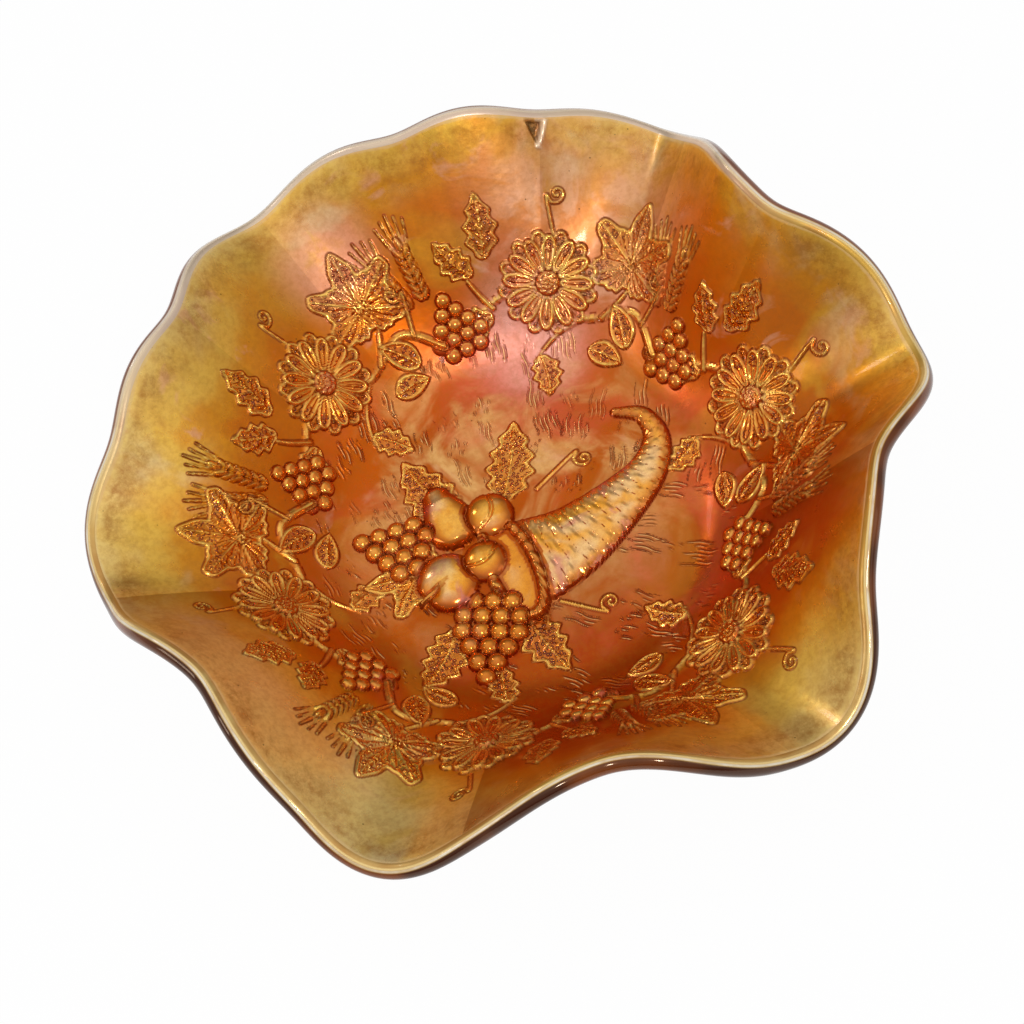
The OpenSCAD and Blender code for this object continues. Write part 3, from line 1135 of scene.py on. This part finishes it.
FILM_INDEX = 1.8
COAT_GOLD = (255, 214, 140)
PEBBLE_DEPTH = 0.0008
STROKE_DEPTH = 0.0002
RIPPLE_DEPTH = 0.00008
STREAK_DEPTH = 0.00004


def lustre(name):
    """Marigold lustre over the relief, with what wear adds and painted shade, highlights and sheens."""
    s = Shader(name)
    reach, edge, below = s.field("reach"), s.field("edge"), s.field("below_edge")
    bare = s.span(s.plus(below, s.patches((0.01, 4, 0.6), 0.3, 0.7, -0.3, 0.3)), 1, 0.2)
    s.colour = base_lustre(s)
    clouds(s)
    crease_shading(s, reach)
    gilding(s, reach, edge)
    outlines(s, edge)
    pebbles, wave = stippling(s), strokes(s)
    wear(s, below, bare)
    s.wash((176, 96, 22), s.field("outside"), 0.6)
    pocket(s)

    rough = s.minus(s.patches((0.012, 4, 0.6), 0.3, 0.7, 0.26, 0.37), s.times(s.span(edge, 0.1, -0.3), 0.16))
    metal = s.minus(s.patches((0.04, 2, 0.5), 0.3, 0.7, 0.46, 0.64), s.times(bare, 0.3))
    metal = s.plus(metal, s.span(edge, 0.1, -0.3, 0, 0.25))
    streak = s.times(s.field("streak"), s.span(reach, 0.4, 0.75))
    skin = s.bump(wave, STROKE_DEPTH, s.bump(pebbles, PEBBLE_DEPTH))
    skin = s.bump(streak, STREAK_DEPTH, s.bump(s.noise(0.0035, 3, 0.5), RIPPLE_DEPTH, skin))
    drift = s.patches((0.03, 3, 0.55, 0.8), 0.3, 0.7, -24, 24)
    film = s.plus(s.span(reach, 0.15, 0.75, 268, 250), drift,
                  s.times(s.field("figure"), 18), s.times(streak, 14))
    tint = s.mix(s.span(reach, 0.6, 0.95), (255, 140, 46), (255, 212, 140))
    coat = s.math("MAXIMUM", s.span(reach, 0.5, 0.85, 0.08, 0.28), s.span(edge, 0.3, -0.3, 0, 0.4))
    return s.finished(Roughness=rough, Metallic=metal, Normal=skin, Specular_Tint=tint,
                      Thin_Film_Thickness=film, Thin_Film_IOR=FILM_INDEX,
                      Coat_Weight=coat, Coat_Roughness=0.08, Coat_Tint=COAT_GOLD)


def edge_glass(name):
    """Fire-polished edge: the last of the lustre, then clear glass with painted gold and white highlight
    lines, painted shade on its outer half and a painted lavender reflection on the far side.
    """
    s = Shader(name)
    haze, turn = s.patches((0.02, 4, 0.55, 0.5), 0.3, 0.7), s.field("round")
    lustred = s.span(turn, 0.26, 0.16)
    s.colour = base_lustre(s)
    s.wash((176, 114, 40), s.span(haze, 0, 1, 0.4, 0.8))
    # Painted highlight: a gold line where the bead starts to turn.
    s.wash((244, 212, 142), s.span(turn, 0.17, 0.22), s.span(turn, 0.28, 0.24))
    gleam = s.patches((0.012, 3, 0.6), 0.35, 0.6, 0.35, 1)
    # Painted highlight: a white gleam along the bead.
    s.wash((240, 228, 204), s.span(turn, 0.25, 0.29), s.span(turn, 0.37, 0.33), gleam)
    # Painted highlight: the bead pales to a greyish white on the far side.
    s.wash((232, 216, 204), s.span(s.axis("Y"), 0.02, 0.07, 0, 0.65))
    # Painted shade: dark brown over the bead's outer half, with a painted lavender grey reflection on the
    # far side.
    edge_shade_and_reflection = s.mix(s.patches((0.03, 2, 0.5), 0.45, 0.62), (62, 22, 6), (128, 62, 18))
    edge_shade_and_reflection = s.mix(s.span(s.axis("Y"), -0.03, 0.04, 0, 0.75), edge_shade_and_reflection, (150, 104, 88))
    s.wash(edge_shade_and_reflection, s.span(turn, 0.34, 0.4))
    rough = s.plus(s.patches((0.005, 3, 0.6), 0.3, 0.7, 0.08, 0.16), s.times(lustred, 0.24))
    return s.finished(Roughness=rough, Normal=s.bump(s.noise(0.003, 2, 0.5), 0.00005),
                      Metallic=s.times(lustred, 0.5), Transmission_Weight=0.1,
                      Specular_Tint=(255, 214, 170), Coat_Weight=0.25, Coat_Roughness=0.05)


def foot_glass(name):
    """Amber glass of the collar base, scuffed where it stands."""
    s = Shader(name)
    s.colour = s.mix(s.patches((0.015, 4, 0.55, 0.5), 0.3, 0.7), (168, 104, 46), (140, 78, 30))
    scuffs = s.patches((0.0008, 4, 0.7), 0.35, 0.6, 0.3, 1)
    scuffed = s.times(s.span(s.axis("Z"), 0.0006, 0.0001), scuffs)
    s.wash((206, 184, 150), scuffed, 0.5)
    rough = s.plus(s.patches((0.006, 3, 0.6), 0.3, 0.7, 0.12, 0.24), s.times(scuffed, 0.35))
    return s.finished(Roughness=rough, Normal=s.bump(s.noise(0.003, 3, 0.5), 0.00006), Metallic=0.15,
                      Transmission_Weight=0.2, Coat_Weight=0.5, Coat_Roughness=0.1)


# ---- Studio
LOOK_AT = Vector((0, 0, 0.036))
DISTANCE = 0.650
ELEVATION = math.radians(62.2)
ROLL = math.radians(19.2)
LENS = 88.48
NEAR = 0.01
FAR = 20
LOOK_ABOVE = 0.00744


def place_camera():
    data = bpy.data.cameras.new("camera")
    data.lens, data.clip_start, data.clip_end = LENS, NEAR, FAR
    camera = add_object("camera", data)
    tilt = Matrix.Rotation(math.pi / 2 - ELEVATION, 4, "X") @ Matrix.Rotation(-ROLL, 4, "Z")
    back = Matrix.Translation((0, -LOOK_ABOVE, DISTANCE))
    camera.matrix_world = Matrix.Translation(LOOK_AT) @ tilt @ back
    bpy.context.scene.camera = camera


# Softboxes: where each one stands, its side in metres and its power in watts.
SOFTBOXES = {
    "main": ((0.04, -0.61, 0.92), 0.11, 2.1),
    "fill": ((0.72, -0.46, 0.60), 0.5, 0.55),
    "left": ((-0.84, -0.04, 0.52), 0.26, 0.9),
    "back": ((-0.45, 0.62, 0.66), 0.12, 0.5),
}
LIT_SPOT = Vector((0, 0, 0.03))


def hang_softboxes():
    for name, (spot, side, watts) in SOFTBOXES.items():
        data = bpy.data.lights.new(name, "AREA")
        data.size, data.energy = side, watts
        aim = (LIT_SPOT - Vector(spot)).to_track_quat("-Z", "Y")
        add_object(name, data).matrix_world = Matrix.LocRotScale(Vector(spot), aim, None)


def seen_or_lit(n, seen, lit, *rays):
    """Shows one shader to the camera and to some rays, and lights by the other."""
    path = n.add("ShaderNodeLightPath")
    share = path.outputs["Is Camera Ray"]
    for ray in rays:
        share = n.math("MAXIMUM", share, path.outputs[ray])
    shown = n.fill(n.add("ShaderNodeMixShader"), share, lit, seen)
    n.enter(n.output, Surface=shown)


# Strength of the light from the room, what its ceiling adds, and what is left of it low
# behind the bowl and low before it.
ROOM = 0.66
CEILING = 0.6
LOW = 0.2
WHITE = (255, 255, 255)
FLOOR_PAINT = (238.6, 238.6, 238.6)
FLOOR_HALF = 2000
GLOW_SHARE = 0.97


def light_world():
    """A white world to look at; to light by, a room with a pale ceiling and two dark sides."""
    world = bpy.data.worlds.new("studio")
    bpy.context.scene.world = world
    n = Nodes(world, "ShaderNodeOutputWorld", "Generated")
    height = n.axis("Z")
    aside = n.times(n.math("ABSOLUTE", n.axis("X")), 0.6)
    strength = n.plus(ROOM, n.span(height, 0.6, 0.95, 0, CEILING))
    for side, high, low in ((1, 0.75, 0.35), (-1, 0.5, 0.1)):
        facing = n.span(n.minus(n.times(n.axis("Y"), side), aside), 0.1, 0.55)
        strength = n.minus(strength, n.times(facing, n.span(height, high, low, 0, ROOM - LOW)))
    # The light keeps the node's own pale grey.
    lit = n.enter(n.add("ShaderNodeBackground"), Strength=strength).outputs[0]
    seen = n.enter(n.add("ShaderNodeBackground"), Color=WHITE).outputs[0]
    seen_or_lit(n, seen, lit, "Is Transmission Ray")


def lay_floor():
    """A white floor that still shows a little of the bowl's shadow."""
    corners = FLOOR_HALF * np.array([(-1, -1, 0), (1, -1, 0), (1, 1, 0), (-1, 1, 0)])
    floor = add_piece("studio_floor", corners, [(0, 1, 2, 3)], {})
    material = bpy.data.materials.new("studio_white")
    n = Nodes(material, "ShaderNodeOutputMaterial", "Object")
    paint = n.fill(n.add("ShaderNodeBsdfDiffuse"), FLOOR_PAINT)
    glow = n.fill(n.add("ShaderNodeEmission"), WHITE, 1)
    white = n.fill(n.add("ShaderNodeMixShader"), GLOW_SHARE, paint, glow)
    seen_or_lit(n, white, paint, "Is Transmission Ray", "Is Glossy Ray")
    floor.data.materials.append(material)


def build():
    glass = Glass()
    inner, bead, outer = glass.normals()
    pieces = (
        (build_floor(glass), "bowl_floor", "floor_glass", lustre("floor_lustre")),
        (build_wall(glass, inner, outer), "ruffled_wall", "wall_glass", lustre("wall_lustre")),
        (build_bead(glass, inner, bead, outer), "rim_bead", "rim_glass", edge_glass("edge_glass")),
        (build_foot(), "collar_base", "foot_glass", foot_glass("foot_glass")),
    )
    for piece, node, slot, material in pieces:
        piece.data.materials.append(material)
        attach(piece, "root")
        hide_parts(node)


build()
lay_floor()
light_world()
hang_softboxes()
place_camera()
bpy.context.scene.view_settings.view_transform = "Standard"
